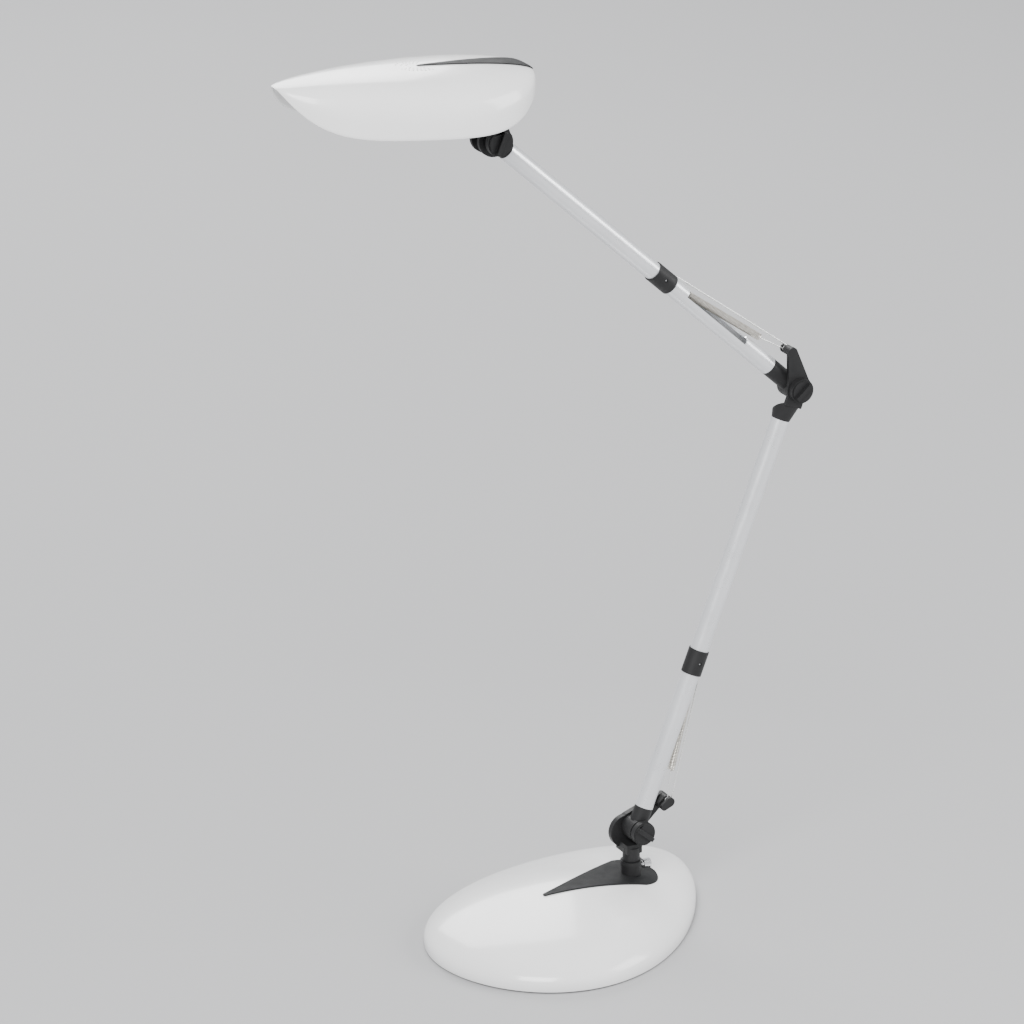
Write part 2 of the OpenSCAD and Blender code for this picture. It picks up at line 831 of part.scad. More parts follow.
// Points of one skin of the shade: the back end, the stations between, the tip.
function shade_skin(k, sink, rows, cols) = concat(
  [shade_pt(0, 0, k)],
  [for (i = [1:rows - 1]) for (j = [0:cols]) shade_pt(shade_t(i, rows), 180 * j / cols - 90,
    k, sink)],
  [shade_pt(1, 0, k)]
);

function skin_faces(rows, cols) = let (w = cols + 1, last = 1 + (rows - 1) * w) concat(
  [for (j = [0:cols - 1]) [0, 1 + j, 2 + j]],
  [for (i = [0:rows - 3]) for (j = [0:cols - 1])
    let (a = 1 + i * w + j) each [[a + w + 1, a + 1, a], [a + w, a + w + 1, a]]],
  [for (j = [0:cols - 1]) let (a = 1 + (rows - 2) * w + j) [last, a + 1, a]]
);

// The open edge of a skin, as one loop of point numbers.
function edge_loop(rows, cols) = let (w = cols + 1, last = 1 + (rows - 1) * w) concat(
  [0], [for (i = [0:rows - 2]) 1 + i * w], [last], [for (i = [rows - 2:-1:0]) 1 + i * w + cols]
);

module nested_shell(k0, sink0, k1, sink1, rows = shade_rows, cols = shade_cols) {
  outer = shade_skin(k0, sink0, rows, cols);
  inner = shade_skin(k1, sink1, rows, cols);
  n = len(outer);
  faces = skin_faces(rows, cols);
  loop = edge_loop(rows, cols);
  m = len(loop);
  polyhedron(
    points = concat(outer, inner),
    faces = concat(
      faces,
      flip([for (f = faces) f + [n, n, n]]),
      [for (i = [0:m - 1]) let (a = loop[i], b = loop[(i + 1) % m])
        each [[b, a, a + n], [b, a + n, b + n]]]
    )
  );
}

k_in = [1 - 2 * shade_wall / shade_len, 1 - 2 * shade_wall / shade_w, 1];

// The head joint's place in the shade's frame, and the middle of the swivel stem.
joint_x = (head_x - shade_x) * cos(shade_pitch) - (head_z - shade_z) * sin(shade_pitch);
joint_z = (head_x - shade_x) * sin(shade_pitch) + (head_z - shade_z) * cos(shade_pitch);
swivel_x = joint_x + stem_x;

// Underside and top of the frame plate, in the shade's frame.
frame_z0 = -16;
frame_z1 = -13;
post_xs = [-20, -84];

module shade() {
  color(white)
    on_shade() nested_shell([1, 1, 1], 0, k_in, shade_wall);
}

// Posts under the shade's roof that the frame is screwed to: the same post twice.
module shade_posts() {
  color(white)
    on_shade()
      for (i = [0, 1])
        translate([post_xs[i], 0, frame_z1 + seat])
          difference() {
            cylinder(h = [17.6, 19.7][i], r = 4, $fn = 32);
            translate([0, 0, -1]) cylinder(h = 14, r = 1.4, $fn = 24);
          }
}

// The dark strip along the ridge: a point in the middle of the shade, wide at its back end.
strip_t0 = 0.012;
strip_t1 = 0.444;
strip_w = 12.5;
strip_rows = 26;
strip_cols = 8;

function strip_layer(k, sink) = [
  for (i = [0:strip_rows])
    let (f = 1 - i / strip_rows, t = strip_t0 + (strip_t1 - strip_t0) * pow(f, 1.6),
         h = 0.7 + (strip_w - 0.7) * pow((strip_t1 - t) / (strip_t1 - strip_t0), 1.1))
      for (j = [0:strip_cols])
        shade_pt(t, across(h * (2 * j / strip_cols - 1) / shade_half(t)), k, sink)
];

module shade_inlay() {
  color(black)
    on_shade()
      skin(strip_rows, strip_cols, strip_layer([1.0012, 1.003, 1], -0.15),
        strip_layer([1 + 2.2 / shade_len, 1 + 2.2 / shade_w, 1], -1.1));
}

// The plate that carries the shade, the reflector and the lamp holder.
module head_frame() {
  color(steel)
    on_shade()
      difference() {
        union() {
          translate([-96, -15, frame_z0]) cube([80, 30, frame_z1 - frame_z0]);
          translate([swivel_x, 0, frame_z0]) cylinder(h = 3.6, r = 8, $fn = 48);
        }
        translate([swivel_x, 0, -30]) cylinder(h = 40, r = 3 + slip, $fn = 48);
        for (x = post_xs) translate([x, 0, -30]) cylinder(h = 40, r = 1.7, $fn = 24);
      }
}

module frame_screws() {
  color(steel)
    on_shade()
      for (i = [0, 1])
        translate([post_xs[i], 0, frame_z0 - seat - i * 1.1]) {
          translate([0, 0, -1.8]) cylinder(h = 1.8, r = 3, $fn = 32);
          translate([0, 0, -0.2]) cylinder(h = 11 + i * 1.1, r = 1.35, $fn = 24);
        }
}

// The upright that turns in the bracket: a groove for its clip, a flange, and a thread on top.
module swivel_stem() {
  top = frame_z0 - seat - joint_z;
  color(black)
    on_shade() translate([swivel_x, 0, joint_z])
      difference() {
        union() {
          translate([0, 0, 8.95]) cylinder(h = 0.5, r = stem_r, $fn = 48);
          translate([0, 0, 9]) cylinder(h = 2, r = 2.95, $fn = 48);
          translate([0, 0, 10.65]) cylinder(h = 10, r = stem_r, $fn = 48);
          translate([0, 0, 20.3]) cylinder(h = 2, r = 8.2, $fn = 48);
          translate([0, 0, 22]) cylinder(h = top - 22, r = 5, $fn = 48);
          translate([0, 0, top - 1]) cylinder(h = 7.6, r = 3, $fn = 48);
        }
        cylinder(h = 80, r = 1.6, $fn = 32);
      }
}

module stem_clip() {
  color(steel)
    on_shade() translate([swivel_x, 0, joint_z + 9.5])
      difference() {
        cylinder(h = 1.1, r = 4.5, $fn = 48);
        translate([0, 0, -1]) cylinder(h = 4, r = 3, $fn = 48);
        translate([0, -1, -1]) cube([8, 2, 4]);
      }
}

module stem_nut() {
  color(steel)
    on_shade() translate([swivel_x, 0, frame_z0 + 3.65])
      difference() {
        cylinder(h = 2.6, r = 5, $fn = 6);
        translate([0, 0, -1]) cylinder(h = 6, r = 3 + slip, $fn = 48);
      }
}

// Half of the reflector's profile: its outside from the middle outwards, and its inside back.
reflect_out = [[14, -16.05], [36, -32.6], [36, -34]];
reflect_in = [[35, -34], [35, -33.1], [13.7, -17.05]];

function mirrored(p) = [for (i = [len(p) - 1:-1:0]) [-p[i].x, p[i].y]];

module reflector() {
  color([0.85, 0.86, 0.87])
    on_shade()
      difference() {
        translate([-62, 0, 0]) rotate([90, 0, -90]) linear_extrude(height = 118)
          polygon(concat(reflect_out, reflect_in, mirrored(reflect_in), mirrored(reflect_out)));
        translate([post_xs[1], 0, -30]) cylinder(h = 40, r = 1.7, $fn = 24);
      }
}

module lamp_holder() {
  color(white)
    on_shade()
      difference() {
        union() {
          translate([-60, -15, -35]) cube([14, 30, 12.7]);
          translate([-58, -7, -24]) cube([8, 14, 24 + frame_z0 - seat]);
        }
        for (y = [-7.5, 7.5])
          translate([-62, y, -29.5]) rotate([0, 90, 0]) cylinder(h = 9, r = 1.4, $fn = 24);
      }
}

module lamp_base() {
  color(white)
    on_shade() {
      translate([-78, -15.5, -35.2]) cube([17.9, 31, 11.6]);
      for (y = [-7.5, 7.5])
        translate([-60.2, y, -29.5]) rotate([0, 90, 0]) cylinder(h = 6, r = 1.2, $fn = 24);
    }
}

// Two glass tubes side by side with a bridge near their far ends.
module lamp_tube() {
  color([0.95, 0.95, 0.93])
    on_shade() {
      for (y = [-7.5, 7.5]) {
        translate([-168, y, -29.5]) rotate([0, 90, 0]) cylinder(h = 89.95, r = 6, $fn = 48);
        translate([-171, y, -29.5]) rotate([0, 90, 0]) cylinder(h = 4, r1 = 3.5, r2 = 6,
          $fn = 48);
      }
      translate([-164, -4, -29.5]) rotate([-90, 0, 0]) cylinder(h = 8, r = 3.4, $fn = 32);
    }
}

rock_z = -38;

module switch_housing() {
  color(black)
    on_shade()
      difference() {
        translate([-59.5, -7.5, -39]) cube([13, 15, 3.95]);
        translate([-58.4, -5, -42]) cube([10.8, 10, 6.1]);
        translate([-53, 0, rock_z]) y_cyl(0.9, -6.5, 6.5, 24);
      }
}

module switch_rocker() {
  color(black)
    on_shade()
      translate([-53, 0, rock_z]) {
        translate([-4.7, -4.7, -2.2]) cube([9.4, 9.4, 3.1]);
        y_cyl(0.85, -6.2, 6.2, 24);
      }
}

// The lamp's wires inside each tube.
module lower_cable() {
  color(black)
    on_lower() translate([cable_x, 0, 9]) cylinder(h = lower_z1, r = cable_r, $fn = 32);
}

module upper_cable() {
  color(black)
    on_upper() translate([cable_x, 0, 9]) cylinder(h = upper_z1, r = cable_r, $fn = 32);
}

base_pad();
base_weight();
base_cover();
base_inlay();
post_socket();
base_spacer();
base_nut();
cover_bosses();
base_screws();
cord_gland();
set_screw();
swivel_yoke();
shoulder_nut();
shoulder_knob();
shoulder_bolt();
shoulder_washer();
lower_foot();
lower_tube();
lower_collar();
lower_collar_pin();
lower_spring();
lower_spring_wire();
lower_cable();
elbow_bracket();
elbow_washer();
elbow_knob();
elbow_bolt();
elbow_nut();
upper_foot();
upper_tube();
upper_collar();
upper_collar_pin();
upper_spring();
upper_spring_wire();
upper_cable();
upper_tip();
head_bracket();
head_knob();
head_bolt();
head_nut();
swivel_stem();
stem_clip();
stem_nut();
shade();
shade_posts();
shade_inlay();
head_frame();
frame_screws();
reflector();
lamp_holder();
lamp_base();
lamp_tube();
switch_housing();
switch_rocker();
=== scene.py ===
import math

import bmesh
import bpy
import numpy as np
from mathutils import Matrix, Vector


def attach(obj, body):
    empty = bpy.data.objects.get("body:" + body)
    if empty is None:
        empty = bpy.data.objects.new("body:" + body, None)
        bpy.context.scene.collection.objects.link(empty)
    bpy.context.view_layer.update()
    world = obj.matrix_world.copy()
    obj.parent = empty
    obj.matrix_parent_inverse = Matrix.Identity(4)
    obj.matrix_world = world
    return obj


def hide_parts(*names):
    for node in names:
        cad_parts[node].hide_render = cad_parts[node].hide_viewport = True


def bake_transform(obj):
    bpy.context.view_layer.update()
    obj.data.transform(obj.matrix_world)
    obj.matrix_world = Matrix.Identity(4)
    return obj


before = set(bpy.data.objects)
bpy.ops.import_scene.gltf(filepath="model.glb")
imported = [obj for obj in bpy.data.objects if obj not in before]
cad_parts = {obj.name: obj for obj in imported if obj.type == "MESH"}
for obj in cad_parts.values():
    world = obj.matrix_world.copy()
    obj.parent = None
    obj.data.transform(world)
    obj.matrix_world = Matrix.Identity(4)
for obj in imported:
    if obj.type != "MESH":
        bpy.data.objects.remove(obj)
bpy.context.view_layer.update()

MM = 0.001
PI = math.pi

# ---------- driving sizes, in millimetres and radians ----------

# Base: half sizes of its egg plan, height of its lip, rise and roundness of its dome.
BASE = dict(
    half_l=149.5, half_w=102.5, lip=6.2, rise=34.0, round=0.47, egg=0.28,
    turn=math.radians(29), x=-54.2, y=2.6, wall=2.6, foot=1.4,
)
BASE_EDGE = ((0.8, 0.0), (0.25, 0.25), (0.0, 0.9))  # (inset, rise) round the lower edge
BASE_INNER_EDGE = 0.5
BASE_SIDES = 192
BASE_ROWS = dict(inner=24, outer=44, inner_gap=0.03, outer_gap=0.02)

# Teardrop round the socket: its round end is at the socket and its tip points toward -X.
INLAY = dict(
    r=25.5, length=91.0, tip=2.0, taper=1.12, nose=1.6, nose_round=1.7, least_half=0.05,
    turn=math.radians(8.3), y=4.0, t=1.1, gap=0.12,
)
INLAY_ROWS = dict(nose=5, drop=36, round=22, round_share=0.9992)

# Cross-section of a thin skin: (share of half width, share of thickness) at its edges,
# the share of the thickness at its first and last stations, and how far its flat reaches.
SKIN_EDGE = ((1.0, 0.0), (1.0, 0.55), (0.985, 0.85), (0.955, 1.0))
SKIN_ENDS = (0.45, 0.8, 0.96)
SKIN_FLAT = 0.9

# Shade: square is the exponent of its cross-section, edge the fall of its rounded rim;
# wide_at and high_at are shares of its length from the back.
SHADE = dict(
    length=232.0, width=125.0, drop=37.0, rise=8.3, wall=2.2, square=3.2, edge=0.55,
    wide_at=0.39, high_at=0.46, pitch=math.radians(3.7), x=-102.5, z=780.6,
)
# Exponents of its outlines toward the tip (front) and toward the back.
PLAN_CURVE = dict(front=1.35, back=2.65)
RIDGE_CURVE = dict(front=2.1, back=3.2, power=0.75)
RIM_POWER = 4.6
RIM_EDGE = ((0.12, 0.6), (0.35, 0.93), (0.65, 0.93), (0.88, 0.6))  # (share of wall, fall)
SHADE_ROWS = 110
SHADE_COLS = 64

# Dark strip along the ridge: it starts at t0 near the back and narrows to a tip at t1.
STRIP = dict(
    t0=0.012, t1=0.444, half=13.2, tip=0.8, taper=1.1, thick=0.75, gap=0.15,
    grow=(1.0012, 1.003, 1), rows=60, crowding=1.6, across=16,
)
# Vent holes in arcs round the strip's tip: their reaches and how many there are on a side.
VENTS = dict(
    reach=(9.0, 13.5, 18.0), squash=0.8, first=5, more=2, from_deg=18, span_deg=104,
    r=0.85, sides=14, depth=9.0,
)

# Arms: length between pivots, tilt from upright and the collar's place along the arm.
LOWER = dict(length=410.0, tilt=math.radians(21.4), collar=156.0)
UPPER = dict(tilt=math.radians(-47.8), collar=175.0)
PIVOT = Vector((4.75, 0, 79.0))
COLLAR_LEN = 22.0
TUBE_R = 8.0
BORE_R = 6.8
TUBE_SIDES = 72
TUBE_ROW = 6
# Slots: where the tube and the slot begin and end along the arm, and where the cut starts.
SLOT_R = 3.7
SLOT_END_X = 3
SLOT_SIDES = 40
LOWER_SLOT = dict(tube=(20.5, 379.5), z=(84.0, 140.0), x=3.0, y=-3.7)
UPPER_SLOT = dict(tube=(33.0, 374.0), z=(70.0, 147.0), x=0.6, y=-9.0)

# Lugs that the springs hook on: reach from the pivot and angle above the row's +X.
LOWER_LUG = dict(reach=37.0, angle=math.radians(32))
ELBOW_LUG = dict(reach=37.0 * 0.95, angle=math.radians(101.2))

# Springs and their wires: low and top are along the arm, x is the distance from its axis.
SPRING = dict(
    low=57.0, top=143.0, x0=14.2, x1=3.4, coil_r=2.75, wire_r=0.45, turns=62, per_turn=14,
    sides=6, end_gap=0.5, end=0.35, bend=0.2, tail=(1.5, 9.5),
)
LONG_WIRE = dict(x=2.8, z=1.6, r=0.7, from_tube=1.1, under_collar=0.6)
HOOK_WIRE = dict(x=-1.4, z=2.8, r=0.5, under_spring=0.8)
WIRE_SIDES = 12
LUG_LOOP = dict(r=2.5, wire_r=0.42, apart=0.75, turn=0.97, points=40, sides=8)

# Angles, in degrees, above which an edge is shown sharp.
SHARP_DEG = 40
NODE_SHARP_DEG = 30
SKIN_SHARP_DEG = 50
SHADE_SHARP_DEG = 60
VENT_SHARP_DEG = 50
SLOT_SHARP_DEG = 35


# ---------- places of the arms, the shade and the lugs ----------

def arm_frame(origin, tilt):
    """Matrix of an arm's frame: +Z up the arm from its pivot, +X to its spring side."""
    return Matrix.Translation(origin) @ Matrix.Rotation(tilt, 4, "Y")


def lug_in_arm(lug, tilt):
    """Where a lug is in the frame of the arm above it, as (x along +X, y along +Z)."""
    angle = lug["angle"] + tilt
    return Vector((lug["reach"] * math.cos(angle), lug["reach"] * math.sin(angle)))


def lug_in_row(lug, pivot):
    """Where a lug is in the row frame."""
    return pivot + Vector((lug["reach"] * math.cos(lug["angle"]), 0,
                           lug["reach"] * math.sin(lug["angle"])))


ON_LOWER = arm_frame(PIVOT, LOWER["tilt"])
ELBOW = ON_LOWER @ Vector((0, 0, LOWER["length"]))
ON_UPPER = arm_frame(ELBOW, UPPER["tilt"])
ON_SHADE = (Matrix.Translation((SHADE["x"], 0, SHADE["z"]))
            @ Matrix.Rotation(SHADE["pitch"], 4, "Y"))


# ---------- helpers for meshes ----------

def shade_smooth(mesh, sharp_deg):
    """Smooth shading, with the edges above an angle kept sharp."""
    mesh.shade_smooth()
    mesh.set_sharp_from_angle(angle=math.radians(sharp_deg))


def finish_mesh(name, bm, material, smooth=True, sharp_deg=SHARP_DEG):
    """Makes an object in metres from a bmesh in millimetres."""
    bmesh.ops.recalc_face_normals(bm, faces=bm.faces)
    mesh = bpy.data.meshes.new(name)
    bm.to_mesh(mesh)
    bm.free()
    mesh.transform(Matrix.Scale(MM, 4))
    obj = bpy.data.objects.new(name, mesh)
    bpy.context.scene.collection.objects.link(obj)
    if smooth:
        shade_smooth(mesh, sharp_deg)
    mesh.materials.append(material)
    return obj


def bridge(bm, a, b):
    """Faces between two closed loops of vertices."""
    n = len(a)
    for i in range(n):
        j = (i + 1) % n
        bm.faces.new((a[i], a[j], b[j], b[i]))


def loft(name, loops, material, sharp_deg=SHARP_DEG, transform=None):
    """A capped surface through closed loops that all have the same number of points."""
    bm = bmesh.new()
    rows = []
    for loop in loops:
        points = [transform @ Vector(p) if transform else Vector(p) for p in loop]
        rows.append([bm.verts.new(p) for p in points])
    n = len(rows[0])
    for a, b in zip(rows, rows[1:]):
        bridge(bm, a, b)
    for row in (rows[0], rows[-1]):
        middle = bm.verts.new(sum((v.co for v in row), Vector()) / n)
        for i in range(n):
            bm.faces.new((row[i], row[(i + 1) % n], middle))
    return finish_mesh(name, bm, material, sharp_deg=sharp_deg)


def tube_along(points, radius, sides):
    """Loops of a round wire along a list of points."""
    points = [Vector(p) for p in points]
    loops = []
    side = None
    for i, p in enumerate(points):
        ahead = points[min(i + 1, len(points) - 1)] - points[max(i - 1, 0)]
        ahead.normalize()
        if side is None:
            side = ahead.orthogonal().normalized()
        side = (side - ahead * side.dot(ahead)).normalized()
        up = ahead.cross(side)
        loops.append([
            p + radius * (math.cos(2 * PI * k / sides) * side + math.sin(2 * PI * k / sides) * up)
            for k in range(sides)
        ])
    return loops


def join(name, objs):
    """One object from several, with their vertices in the row frame."""
    bm = bmesh.new()
    for o in objs:
        bm.from_mesh(o.data)
    mesh = bpy.data.meshes.new(name)
    bm.to_mesh(mesh)
    bm.free()
    for m in objs[0].data.materials:
        mesh.materials.append(m)
    shade_smooth(mesh, SHARP_DEG)
    obj = bpy.data.objects.new(name, mesh)
    bpy.context.scene.collection.objects.link(obj)
    for o in objs:
        bpy.data.objects.remove(o)
    return obj


# ---------- materials ----------

NOISE_LOW = 0.3
NOISE_HIGH = 0.7
BUMP_DEPTH = 0.0002  # metres
SMUDGE = dict(detail=5.0, rough=0.6)
SMUDGE_FINER = 3
GRAIN = dict(detail=4.0, rough=0.6)


def new_material(name):
    """A material, its node tree and its shader."""
    m = bpy.data.materials.new(name)
    m.use_nodes = True
    return m, m.node_tree, m.node_tree.nodes["Principled BSDF"]


def place(tree, stretch=(1, 1, 1)):
    """Object coordinates in metres, stretched."""
    coord = tree.nodes.new("ShaderNodeTexCoord")
    mapping = tree.nodes.new("ShaderNodeMapping")
    mapping.inputs["Scale"].default_value = stretch
    tree.links.new(coord.outputs["Object"], mapping.inputs["Vector"])
    return mapping.outputs["Vector"]


def noise(tree, vector, scale, detail=3.0, rough=0.5):
    """Cloudy noise, mostly from 0.3 to 0.7."""
    n = tree.nodes.new("ShaderNodeTexNoise")
    n.inputs["Scale"].default_value = scale
    n.inputs["Detail"].default_value = detail
    n.inputs["Roughness"].default_value = rough
    tree.links.new(vector, n.inputs["Vector"])
    return n.outputs["Fac"]


def ranged(tree, value, low, high):
    """Noise turned into a number from low to high."""
    r = tree.nodes.new("ShaderNodeMapRange")
    for key, number in (("From Min", NOISE_LOW), ("From Max", NOISE_HIGH),
                        ("To Min", low), ("To Max", high)):
        r.inputs[key].default_value = number
    tree.links.new(value, r.inputs["Value"])
    return r.outputs["Result"]


def tint(tree, value, dark, light):
    """Noise turned into a colour between a dark and a light one."""
    ramp = tree.nodes.new("ShaderNodeValToRGB")
    for element, position, colour in zip(ramp.color_ramp.elements, (NOISE_LOW, NOISE_HIGH),
                                         (dark, light)):
        element.position = position
        element.color = (*colour, 1)
    tree.links.new(value, ramp.inputs["Fac"])
    return ramp.outputs["Color"]


def bumped(tree, shader, height, strength):
    """A fine bump on a shader's surface."""
    b = tree.nodes.new("ShaderNodeBump")
    b.inputs["Strength"].default_value = strength
    b.inputs["Distance"].default_value = BUMP_DEPTH
    tree.links.new(height, b.inputs["Height"])
    tree.links.new(b.outputs["Normal"], shader.inputs["Normal"])


def surface(name, dark, light, rough, metallic=0.0, patch=25.0, grain=900.0, grain_bump=0.1,
            stretch=(1, 1, 1), coat=0.0, coat_rough=0.1, ior=1.5):
    """A material with cloudy colour, uneven roughness and a fine surface grain."""
    m, tree, shader = new_material(name)
    shader.inputs["Metallic"].default_value = metallic
    shader.inputs["Coat Weight"].default_value = coat
    shader.inputs["Coat Roughness"].default_value = coat_rough
    shader.inputs["IOR"].default_value = ior
    vector = place(tree, stretch)
    cloud = noise(tree, vector, patch)
    tree.links.new(tint(tree, cloud, dark, light), shader.inputs["Base Color"])
    smudge = noise(tree, vector, patch * SMUDGE_FINER, **SMUDGE)
    tree.links.new(ranged(tree, smudge, *rough), shader.inputs["Roughness"])
    bumped(tree, shader, noise(tree, vector, grain, **GRAIN), grain_bump)
    return m


WHITE = surface("white_shell", (0.87, 0.87, 0.865), (0.91, 0.91, 0.905), (0.16, 0.24),
                patch=14, grain=500, grain_bump=0.03, coat=0.35, coat_rough=0.06)
SHADE_WHITE = surface("white_shade", (0.88, 0.88, 0.875), (0.92, 0.92, 0.915), (0.17, 0.25),
                      patch=18, grain=520, grain_bump=0.03, coat=0.35, coat_rough=0.06)
INLAY_GREY = surface("inlay_grey", (0.014, 0.0145, 0.015), (0.020, 0.0205, 0.021), (0.46, 0.58),
                     patch=40, grain=2600, grain_bump=0.25, ior=1.22)
BLACK = surface("black_plastic", (0.010, 0.010, 0.0105), (0.015, 0.015, 0.0155), (0.44, 0.58),
                patch=60, grain=2200, grain_bump=0.35, ior=1.38)
SILVER = surface("silver_tube", (0.80, 0.81, 0.83), (0.85, 0.86, 0.88), (0.26, 0.34),
                 metallic=0.65, patch=30, grain=3200, grain_bump=0.12)
STEEL = surface("zinc_steel", (0.42, 0.42, 0.41), (0.56, 0.56, 0.55), (0.24, 0.38),
                metallic=1.0, patch=120, grain=1800, grain_bump=0.2)
CHROME = surface("chrome", (0.78, 0.78, 0.79), (0.84, 0.84, 0.85), (0.06, 0.14),
                 metallic=1.0, patch=90, grain=900, grain_bump=0.04)
IRON = surface("cast_iron", (0.045, 0.045, 0.047), (0.09, 0.09, 0.09), (0.6, 0.8),
               metallic=0.6, patch=60, grain=700, grain_bump=0.9)
RUBBER = surface("rubber_pad", (0.012, 0.012, 0.012), (0.022, 0.022, 0.022), (0.75, 0.9),
                 patch=40, grain=1400, grain_bump=0.8)
SPRING_STEEL = surface("spring_steel", (0.58, 0.55, 0.50), (0.72, 0.70, 0.65), (0.28, 0.42),
                       metallic=0.8, patch=300, grain=4000, grain_bump=0.1)
WIRE = surface("bright_wire", (0.80, 0.80, 0.79), (0.88, 0.88, 0.87), (0.2, 0.3),
               metallic=0.7, patch=300, grain=4000, grain_bump=0.08)
SHEATH = surface("cable_sheath", (0.014, 0.014, 0.014), (0.022, 0.022, 0.022), (0.5, 0.65),
                 patch=120, grain=2500, grain_bump=0.3)
REFLECTOR = surface("reflector_sheet", (0.74, 0.74, 0.74), (0.82, 0.82, 0.82), (0.12, 0.2),
                    metallic=1.0, patch=50, grain=1200, grain_bump=0.1, stretch=(0.15, 1, 1))
GLASS = surface("lamp_glass", (0.86, 0.86, 0.83), (0.91, 0.91, 0.88), (0.12, 0.18),
                patch=80, grain=800, grain_bump=0.03, coat=0.5, coat_rough=0.04)
CREAM = surface("cream_moulding", (0.70, 0.68, 0.62), (0.76, 0.74, 0.68), (0.35, 0.48),
                patch=90, grain=1500, grain_bump=0.2)


# ---------- base ----------

def turned(x, y, a):
    """A point turned about the origin."""
    return x * math.cos(a) - y * math.sin(a), x * math.sin(a) + y * math.cos(a)


def plan(t, s, inset=0.0):
    """A point of the base's egg plan at angle t and share s of the way to the rim."""
    x = (BASE["half_l"] - inset) * math.cos(t) * s
    y = (BASE["half_w"] - inset) * math.sin(t) * (1 - BASE["egg"] * math.cos(t)) * s
    x, y = turned(x, y, BASE["turn"])
    return BASE["x"] + x, BASE["y"] + y


def dome(s):
    """Height of the dome at share s of the way to the rim."""
    return BASE["lip"] + BASE["rise"] * max(0.0, 1 - s * s) ** BASE["round"]


def dome_at(x, y):
    """Height of the dome over a point of the row frame.

    The share of the way to the rim is found in rounds, since the egg's width depends on it."""
    u, v = turned(x - BASE["x"], y - BASE["y"], -BASE["turn"])
    s = 0.5
    least_s = 0.05
    rounds = 40
    for _ in range(rounds):
        across = u / (BASE["half_l"] * max(s, least_s))
        half = BASE["half_w"] * (1 - BASE["egg"] * max(-1.0, min(1.0, across)))
        s = math.hypot(u / BASE["half_l"], v / half)
    return dome(min(1.0, s))


def base_ring(s, z, inset=0.0):
    """A loop round the base at height z."""
    return [(*plan(2 * PI * i / BASE_SIDES, s, inset), z) for i in range(BASE_SIDES)]


def dome_rings(start, stop, count, wall=0.0):
    """Loops up or down the dome, or the inside of its wall."""
    return [base_ring(math.cos(u), dome(math.cos(u)) - wall, wall)
            for u in np.linspace(start, stop, count)]


def make_base():
    """The white domed cover, open below."""
    wall = BASE["wall"]
    foot = BASE["foot"]
    rows = BASE_ROWS
    inner = dome_rings(PI / 2 - rows["inner_gap"], 0.0, rows["inner"], wall)
    edge = [base_ring(1, foot + BASE_INNER_EDGE, wall),
            base_ring(1, foot, wall - BASE_INNER_EDGE)]
    edge += [base_ring(1, foot + rise, inset) for inset, rise in BASE_EDGE]
    outer = dome_rings(0.0, PI / 2 - rows["outer_gap"], rows["outer"])
    shell = loft("base_shell", inner + edge + outer, WHITE)
    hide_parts("base_cover")
    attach(shell, "base")


def inlay_half(x):
    """Half width of the teardrop at x along it, with the socket at 0."""
    r, length, tip = INLAY["r"], INLAY["length"], INLAY["tip"]
    if x > 0:
        return max(INLAY["least_half"], math.sqrt(max(0.0, r * r - x * x)))
    if x < -length:
        return tip * math.sqrt(max(0.0, 1 - ((-length - x) / INLAY["nose_round"]) ** 2))
    return tip + (r - tip) * min(1.0, (x + length) / length) ** INLAY["taper"]


def rounded_skin(name, stations, point_at, thickness, material, across=24):
    """A thin skin on a surface, with its top edge rounded over.

    point_at(station, share, height) gives a point for a share from -1 to 1 across the skin."""
    loops = []
    for k, station in enumerate(stations):
        near_end = min(k, len(stations) - 1 - k)
        lift = SKIN_ENDS[near_end] if near_end < len(SKIN_ENDS) else 1.0
        section = [(-share, height * thickness * lift) for share, height in SKIN_EDGE]
        section += [(share, thickness * lift)
                    for share in np.linspace(-SKIN_FLAT, SKIN_FLAT, across)]
        section += [(share, height * thickness * lift) for share, height in reversed(SKIN_EDGE)]
        loops.append([point_at(station, share, height) for share, height in section])
    return loft(name, loops, material, sharp_deg=SKIN_SHARP_DEG)


def make_base_inlay():
    """The dark teardrop that lies on the dome round the socket."""
    nose, length, r = INLAY["nose"], INLAY["length"], INLAY["r"]
    rows = INLAY_ROWS
    tip = -length - nose
    stations = [tip + nose * (1 - math.cos(PI / 2 * k / rows["nose"]))
                for k in range(1, rows["nose"] + 1)]
    stations += [tip + nose + length * k / rows["drop"] for k in range(1, rows["drop"] + 1)]
    stations += [r * math.sin(PI / 2 * k / rows["round"]) * rows["round_share"]
                 for k in range(1, rows["round"] + 1)]

    def point_at(x, share, height):
        px, py = turned(x, inlay_half(x) * share, INLAY["turn"])
        py += INLAY["y"]
        return px, py, dome_at(px, py) + INLAY["gap"] + height

    skin = rounded_skin("base_inlay_skin", stations, point_at, INLAY["t"], INLAY_GREY)
    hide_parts("base_inlay")
    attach(skin, "base")


# ---------- shade ----------

def swell(t, c, front, back, power=0.5):
    """A curve from 0 at t = 0 up to 1 at t = c and down to 0 at t = 1."""
    if t < c:
        return max(0.0, 1 - ((c - t) / c) ** back) ** 0.5
    return max(0.0, 1 - ((t - c) / (1 - c)) ** front) ** power


def shade_half(t):
    """Half width of the shade at t."""
    return SHADE["width"] / 2 * swell(t, SHADE["wide_at"], **PLAN_CURVE)


